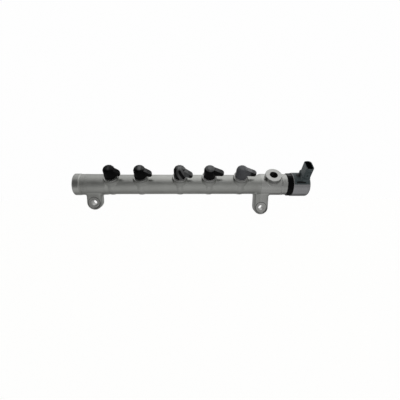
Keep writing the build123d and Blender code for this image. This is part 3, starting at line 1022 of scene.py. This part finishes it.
class Wardrobe:
    """Every finish of the rail, and the nodes that wear each."""

    def __init__(self, effects: SurfaceEffects) -> None:
        """Make every finish from the shared shader groups."""
        self.worn_by = self.finishes()
        self.made = {finish.name: finish.build(effects) for finish in dict.fromkeys(self.worn_by.values())}

    @staticmethod
    def finishes() -> dict:
        """List the finishes by the nodes that wear them.

        Returns:
            Finish by node name.
        """
        port_1, port_2, port_3, _, port_5 = RailSizes().port_x
        black = (0.003, 0.003, 0.0033)
        table = {
            # The rail's wide, pale edges are partly wear and partly a painted highlight.
            "rail_body": Metal("forged_steel", (0.615, 0.623, 0.597), 0.33, grade=Grade.FORGED,
                               edge_width=1.1, worn=(0.84, 0.84, 0.82)),
            # The caps share one black plastic; each gets its own painted highlights on the crown and on faces
            # towards the light, the third along its flutes too, and the third and fifth painted shade on the
            # tab's tip.
            "port_cap_1": CapPlastic("cap_black", black, 0.20, crown=0.22, sheen=0.04, spot_x=port_1 + 0.3,
                                     spot_half=1.3),
            "port_cap_2": CapPlastic("cap_glossy_black", black, 0.20, spot_x=port_2 + 0.8, spot_half=2.0),
            "port_cap_3": CapPlastic("cap_fluted_black", (0.005, 0.005, 0.006), 0.24, specular=0.12,
                                     scuffing=0.05, sheen=0.60, flute_highlights=0.62, tip_x=port_3 + 10.5),
            "port_cap_4": CapPlastic("cap_satin_black", black, 0.20, specular=0.12, crown_from=31.6),
            # The fifth cap's grey colour is a painted reflection on its front.
            "port_cap_5": CapPlastic("cap_charcoal", (0.160, 0.165, 0.176), 0.34, specular=0.20,
                                     scuffing=0.05, crown=0.30, sheen=0.75, tip_x=port_5 + 9.5),
            "clamp_nut": Metal("blacked_nut", (0.006, 0.006, 0.0065), 0.34, grade=Grade.BLACKED,
                               worn=(0.05, 0.05, 0.05)),
            "coil_housing": Metal("plated_can", (0.62, 0.62, 0.64), 0.26, grain_height=0.004, mottle=0.05),
            # The connector's plastic carries painted shade and painted light on one side.
            "connector_housing": PlugPlastic("teal_plastic", (0.130, 0.164, 0.171), 0.38, specular=0.35,
                                             scuff=(0.30, 0.36, 0.38)),
            "terminal_pin_1": Metal("tinned_brass", (0.16, 0.15, 0.13), 0.35, mottle=0.05),
            "valve_body": Metal("ground_steel", (0.58, 0.58, 0.57), 0.28, grain_height=0.01),
            "seal_washer": Metal("copper_washer", (0.65, 0.36, 0.22), 0.30),
            "cartridge_o_ring": Plastic("seal_rubber", (0.012, 0.012, 0.012), 0.55),
            "backup_ring": Plastic("ring_white", (0.62, 0.60, 0.55), 0.45),
            "yoke_washer": Metal("yoke_steel", (0.50, 0.50, 0.50), 0.35),
            "coil_bobbin": Plastic("bobbin_plastic", (0.045, 0.045, 0.048), 0.50),
            "coil_winding": Winding("enamelled_copper", (0.62, 0.25, 0.10), 0.30),
            "pole_core": Metal("core_steel", (0.48, 0.48, 0.48), 0.40),
        }
        table["terminal_pin_2"] = table["terminal_pin_1"]
        table["stem_seal"] = table["cartridge_o_ring"]
        return table

    def finish_of(self, node: str) -> Material:
        """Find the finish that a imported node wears."""
        return self.made[self.worn_by[node].name]

    def dress(self) -> None:
        """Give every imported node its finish."""
        for name in self.worn_by:
            node, material = bpy.data.objects[name], self.finish_of(name)
            for slot in node.material_slots:
                slot.material = material
            if not node.material_slots:
                node.data.materials.append(material)
            log.info("dressed %s in %s", name, material.name)


# ---- fine detail


@dataclass
class PortCaps:
    """Grip ribs and tab grips of the five dust caps, each in its cap's own frame."""

    rail: RailSizes
    wardrobe: Wardrobe
    turn: Tuple[float, ...] = (6.0, 9.0, 16.0, 2.0, 3.0)
    reach: Tuple[float, ...] = (13.6, 15.7, 17.1, 18.5, 19.2)
    rib_r: Tuple[float, ...] = (0.45, 0.45, 0.60, 0.45, 0.40)
    rib_proud: Tuple[float, ...] = (0.12, 0.12, 0.30, 0.12, 0.10)
    rib_phase: Tuple[float, ...] = (0.5, 0.5, 0.27, 0.5, 0.5)
    rib_twist: Tuple[float, ...] = (0.0, 0.0, radians(-3.2), 0.0, 0.0)
    rib_count: int = 12
    rib_steps: int = 28
    rib_taper: float = 0.55
    bar_sides: int = 8
    rib_low: float = -10.1
    skirt_r: float = 7.5
    shoulder: float = -2.5
    crown_r: float = 2.0
    crown: float = 3.0
    tab_root: Span = (3.0, 2.3)
    tab_tip: float = -5.1
    tab_half: float = 2.4
    grip_count: int = 4
    grip_r: float = 0.32
    grip_step: float = 1.3
    grip_from_tip: float = 6.2

    def rib_tree(self) -> NodeTree:
        """Make ribs that run up the skirt and close in over the dome.

        Returns:
            The tree.
        """
        tree = Tree("cap_ribs", {
            "Count": self.rib_count, "Low": self.rib_low, "Shoulder": self.shoulder, "Crown": self.crown,
            "Skirt Radius": self.skirt_r, "Crown Radius": self.crown_r, "Rib Radius": self.rib_r[0],
            "Proud": self.rib_proud[0], "Phase": self.rib_phase[0], "Twist": self.rib_twist[0],
        })
        reads = tree.reads
        along = tree.math("DIVIDE", tree.index(), float(self.rib_steps - 1))
        # The first half of a rib climbs the skirt and the second half bends over the dome.
        climb = tree.math("MULTIPLY", along, 2.0, clamp=True)
        arc = tree.math("MULTIPLY_ADD", along, 2.0, -1.0, clamp=True)
        angle = tree.times(arc, pi / 2)
        sunk = tree.minus(reads["Rib Radius"], reads["Proud"])
        skirt = tree.minus(reads["Skirt Radius"], sunk)
        width = tree.minus(skirt, reads["Crown Radius"])
        radius = tree.math("MULTIPLY_ADD", width, tree.math("COSINE", angle), reads["Crown Radius"])
        straight = tree.minus(reads["Shoulder"], reads["Low"])
        level = tree.math("MULTIPLY_ADD", straight, climb, reads["Low"])
        dome = tree.minus(tree.minus(reads["Crown"], sunk), reads["Shoulder"])
        level = tree.math("MULTIPLY_ADD", dome, tree.math("SINE", angle), level)
        turn = tree.times(tree.minus(level, reads["Low"]), reads["Twist"])
        x, y = (tree.times(radius, tree.math(part, turn)) for part in ("COSINE", "SINE"))
        bent = tree.add("GeometryNodeSetPosition",
                        {"Geometry": tree.line(self.rib_steps), "Position": tree.joined(x, y, level)})
        thin = tree.add("GeometryNodeSetCurveRadius", {
            "Curve": tree.add("GeometryNodeMeshToCurve", {0: bent}),
            "Radius": tree.math("MULTIPLY_ADD", arc, -self.rib_taper, 1.0)})
        bar = tree.tube(thin, reads["Rib Radius"], self.bar_sides)
        spin = tree.times(tree.math("ADD", tree.index(), reads["Phase"]),
                          tree.math("DIVIDE", 2 * pi, reads["Count"]))
        return tree.close(tree.copies(tree.line(reads["Count"]), bar, tree.joined(z=spin)))

    def grip_tree(self) -> NodeTree:
        """Make short bars across a tab, one after another down its slope.

        Returns:
            The tree.
        """
        tree = Tree("tab_grips", {"Count": self.grip_count, "Step": X_AXIS, "Half Length": self.tab_half,
                                  "Bar Radius": self.grip_r})
        half = tree.reads["Half Length"]
        run = tree.add("GeometryNodeCurvePrimitiveLine",
                       {"Start": tree.joined(y=tree.times(half, -1.0)), "End": tree.joined(y=half)})
        bar = tree.tube(run, tree.reads["Bar Radius"], self.bar_sides)
        return tree.close(tree.copies(tree.line(tree.reads["Count"], tree.reads["Step"]), bar))

    def build(self) -> None:
        """Make the ribs and grips of every cap."""
        ribs, grips = self.rib_tree(), self.grip_tree()
        for index, x in enumerate(self.rail.port_x):
            number = index + 1
            place = leaning(x, self.rail.port_lean, self.rail.nipple_tip, -self.turn[index])
            finish = self.wardrobe.finish_of(f"port_cap_{number}")
            grown(f"cap_ribs_{number}", ribs, place, "cap_plastic", Rib_Radius=self.rib_r[index],
                  Proud=self.rib_proud[index], Phase=self.rib_phase[index], Twist=self.rib_twist[index],
                  Material=finish)
            root = Vector((self.tab_root[0], 0.0, self.tab_root[1]))
            tip = Vector((self.reach[index], 0.0, self.tab_tip))
            slope = (tip - root).normalized()
            first = Matrix.Translation(tip - slope * self.grip_from_tip)
            grown(f"tab_grips_{number}", grips, place @ first, "cap_plastic",
                  Step=tuple(slope * self.grip_step), Material=finish)


@dataclass
class ToolMarks:
    """Threads in the open ports and the turned rings behind the sensor end."""

    rail: RailSizes
    wardrobe: Wardrobe
    pitch: float = 1.5
    lip: float = 0.9
    run_out: float = 0.6
    thread_sunk: float = 0.1
    ridge: float = 0.5
    ridge_sides: int = 4
    turn_steps: int = 48
    ring_pitch: float = 2.1
    ring_count: int = 5
    ring_from_band: float = 2.4
    ring_sunk: float = 0.13
    ring_wire: float = 0.36
    wire_sides: int = 6
    ring_sides: int = 120

    def thread_tree(self) -> NodeTree:
        """Make a ridge wound up the wall of a hole.

        Returns:
            The tree.
        """
        tree = Tree("port_thread", {"Radius": self.rail.return_core, "Pitch": self.pitch,
                                    "Depth": self.rail.return_depth, "Ridge": self.ridge})
        reads = tree.reads
        spiral = tree.add("GeometryNodeCurveSpiral", {
            "Resolution": self.turn_steps, "Rotations": tree.math("DIVIDE", reads["Depth"], reads["Pitch"]),
            "Start Radius": reads["Radius"], "End Radius": reads["Radius"], "Height": reads["Depth"]})
        upright = tree.add("GeometryNodeSetCurveNormal", {"Curve": spiral}, mode="Z_UP")
        return tree.close(tree.tube(upright, reads["Ridge"], self.ridge_sides), smooth=False)

    def ring_tree(self) -> NodeTree:
        """Make thin rings in a row along z.

        Returns:
            The tree.
        """
        tree = Tree("turned_rings", {"Count": self.ring_count, "Pitch": self.ring_pitch,
                                     "Radius": self.rail.neck_r - self.ring_sunk, "Wire": self.ring_wire})
        circle = tree.circle(tree.reads["Radius"], self.ring_sides)
        hoop = tree.tube(circle, tree.reads["Wire"], self.wire_sides, fill=False)
        row = tree.line(tree.reads["Count"], tree.joined(z=tree.reads["Pitch"]))
        return tree.close(tree.copies(row, hoop))

    def build(self) -> None:
        """Cut the threads and turn the rings."""
        rail, steel = self.rail, self.wardrobe.made["forged_steel"]
        into_sensor = Matrix.Rotation(pi / 2, 4, "Y")
        into_return = (leaning(rail.return_x, rail.port_lean, rail.return_face - self.lip)
                       @ Matrix.Rotation(pi, 4, "X"))
        thread = self.thread_tree()
        for name, place, radius, depth in (
            ("return_thread", into_return, rail.return_core, rail.return_depth),
            ("sensor_thread", Matrix.Translation((self.lip, 0.0, 0.0)) @ into_sensor, rail.sensor_core,
             rail.sensor_depth),
        ):
            grown(name, thread, place, "forged_steel", Radius=radius + self.thread_sunk,
                  Depth=depth - self.lip - self.run_out, Material=steel)
        place = Matrix.Translation((rail.end_band + self.ring_from_band, 0.0, 0.0)) @ into_sensor
        grown("turned_rings", self.ring_tree(), place, "forged_steel", Material=steel)


@dataclass
class PlugDetail:
    """The seal at the foot of the plug's socket and the bead round its mouth."""

    rail: RailSizes
    wardrobe: Wardrobe
    seal_above: float = 0.8
    seal_inset: float = 0.5
    seal_bead: float = 0.8
    mouth_below: float = 0.35
    mouth_inset: float = -0.65
    mouth_bead: float = 0.55
    corner_steps: int = 8
    bead_sides: int = 8

    def loop_tree(self) -> NodeTree:
        """Make a bead that follows a rounded rectangle.

        Returns:
            The tree.
        """
        rail = self.rail
        tree = Tree("socket_bead", {"Width": rail.plug_width, "Span": rail.plug_span,
                                    "Corner": rail.plug_corner, "Bead": self.seal_bead})
        reads = tree.reads
        frame = tree.add("GeometryNodeCurvePrimitiveQuadrilateral",
                         {"Width": reads["Width"], "Height": reads["Span"]})
        fillet = {"Curve": frame, "Radius": reads["Corner"], "Count": self.corner_steps}
        rounded = tree.add("GeometryNodeFilletCurve", fillet, mode="POLY")
        return tree.close(tree.tube(rounded, reads["Bead"], self.bead_sides, fill=False))

    def build(self) -> None:
        """Lay the seal and the bead."""
        rail, tree = self.rail, self.loop_tree()
        for name, level, inset, bead, finish, slot in (
            ("plug_seal", rail.plug_reach - rail.plug_depth + self.seal_above, self.seal_inset,
             self.seal_bead, "seal_rubber", "seal_rubber"),
            ("plug_mouth_bead", rail.plug_reach - self.mouth_below, self.mouth_inset, self.mouth_bead,
             "teal_plastic", "connector_plastic"),
        ):
            grown(name, tree, leaning(rail.plug_x, rail.plug_lean, level), slot,
                  Width=rail.plug_width - 2 * inset, Span=rail.plug_span - 2 * inset,
                  Corner=rail.plug_corner - inset, Bead=bead, Material=self.wardrobe.made[finish])


# ---- studio


@dataclass
class Studio:
    """Camera, light and floor; lengths are millimetres and angles degrees."""

    camera_at: Triple = (144.6, -379.5, 67.0)
    yaw: float = 3.1
    pitch: float = 13.13
    roll: float = 0.55
    sensor: float = 36.0
    focal_pixels: float = 285.0
    frame_pixels: float = 400.0
    clip_start: float = 10.0
    side: float = 0.35
    warmth: float = 0.995
    backdrop: float = 0.99
    floor_drop: float = 900.0
    floor_half: float = 4000.0
    floor_colour: Triple = (0.9, 0.9, 0.89)
    floor_roughness: float = 0.9
    floor_glow: float = 0.585

    def camera(self) -> None:
        """Place the camera where the view is taken from."""
        data = bpy.data.cameras.new("view_camera")
        data.sensor_width = self.sensor
        data.sensor_fit = "HORIZONTAL"
        data.lens = self.sensor * self.focal_pixels / self.frame_pixels
        data.clip_start = self.clip_start * MM
        camera = bpy.data.objects.new("view_camera", data)
        yaw, pitch, roll = (radians(angle) for angle in (self.yaw, self.pitch, self.roll))
        forward = Vector((sin(yaw) * cos(pitch), cos(yaw) * cos(pitch), -sin(pitch)))
        right = Vector((cos(yaw), -sin(yaw), 0.0))
        up = right.cross(forward)
        right, up = right * cos(roll) + up * sin(roll), up * cos(roll) - right * sin(roll)
        turn = Matrix((right, up, -forward)).transposed().to_4x4()
        camera.matrix_world = Matrix.Translation(Vector(self.camera_at) * MM) @ turn
        bpy.context.scene.collection.objects.link(camera)
        bpy.context.scene.camera = camera

    def band(self, graph: Graph, height: Socket, side: int) -> Socket:
        """Set the studio's brightness by height on one side of it.

        Args:
            graph: The world's graph.
            height: Angle round the rail's length, from 0 to 1.
            side: Column of LIGHT_BANDS.

        Returns:
            The colour.
        """
        ramp = graph.node("ShaderNodeValToRGB", {0: height})
        elements = ramp.color_ramp.elements
        while len(elements) < len(LIGHT_BANDS):
            elements.new(0.5)
        for element, row in zip(elements, LIGHT_BANDS):
            element.position = (row[0] + 180) / 360
            element.color = (row[side], row[side], row[side] * self.warmth, 1.0)
        return ramp.outputs[0]

    def world(self) -> None:
        """Set a soft studio round the rail: bright above, dim behind the camera, pale below."""
        world = bpy.data.worlds.new("studio")
        world.use_nodes = True
        graph = Graph(world.node_tree)
        light = graph.found("BACKGROUND")
        direction = graph.node("ShaderNodeTexCoord").outputs["Generated"]
        x, y, z = graph.node("ShaderNodeSeparateXYZ", {0: direction}).outputs
        angle = graph.math("ARCTAN2", z, graph.times(y, -1.0))
        height = graph.spread(angle, (-pi, pi))
        left, middle, right = (self.band(graph, height, side) for side in (1, 2, 3))
        shade = graph.mix(graph.spread(x, (-self.side, 0.0)), left, middle)
        shade = graph.mix(graph.spread(x, (0.0, self.side)), shade, right)
        graph.feed(light.inputs["Color"], shade)
        white = graph.add("ShaderNodeBackground", {"Color": (1.0, 1.0, 1.0, 1.0), "Strength": self.backdrop})
        seen = graph.node("ShaderNodeLightPath").outputs["Is Camera Ray"]
        choice = graph.add("ShaderNodeMixShader", {0: seen, 1: light.outputs[0], 2: white})
        graph.feed(graph.found("OUTPUT_WORLD").inputs[0], choice)
        bpy.context.scene.world = world

    def floor(self) -> None:
        """Lay a plain pale floor well below the rail, which is held by its lugs."""
        low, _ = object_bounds()
        mesh = bpy.data.meshes.new("floor")
        half, level = self.floor_half * MM, low[2] - self.floor_drop * MM
        corners = [(x * half, y * half, level) for x, y in ((-1, -1), (1, -1), (1, 1), (-1, 1))]
        mesh.from_pydata(corners, [], [(0, 1, 2, 3)])
        floor = bpy.data.objects.new("floor", mesh)
        bpy.context.scene.collection.objects.link(floor)
        material = bpy.data.materials.new("pale_floor")
        material.use_nodes = True
        graph = Graph(material.node_tree)
        shader = graph.found("BSDF_PRINCIPLED")
        for name, value in (("Base Color", (*self.floor_colour, 1.0)), ("Roughness", self.floor_roughness),
                            ("Emission Color", (1.0, 1.0, 1.0, 1.0)), ("Emission Strength", self.floor_glow)):
            graph.feed(shader.inputs[name], value)
        mesh.materials.append(material)
        floor.visible_glossy = False
        floor.visible_diffuse = False
        floor.visible_shadow = False
        floor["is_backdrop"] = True

    def build(self) -> None:
        """Set up the whole studio."""
        bpy.context.scene.view_settings.view_transform = "Standard"
        self.camera()
        self.world()
        self.floor()


# ---- main


def main() -> None:
    """Load the frame, dress it, add the detail and set the studio."""
    logging.basicConfig(level=logging.INFO, format="%(name)s: %(message)s")
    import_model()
    rail = RailSizes()
    wardrobe = Wardrobe(SurfaceEffects())
    wardrobe.dress()
    for assembly in (PortCaps(rail, wardrobe), ToolMarks(rail, wardrobe), PlugDetail(rail, wardrobe)):
        assembly.build()
    Studio().build()


if __name__ == "__main__":
    main()
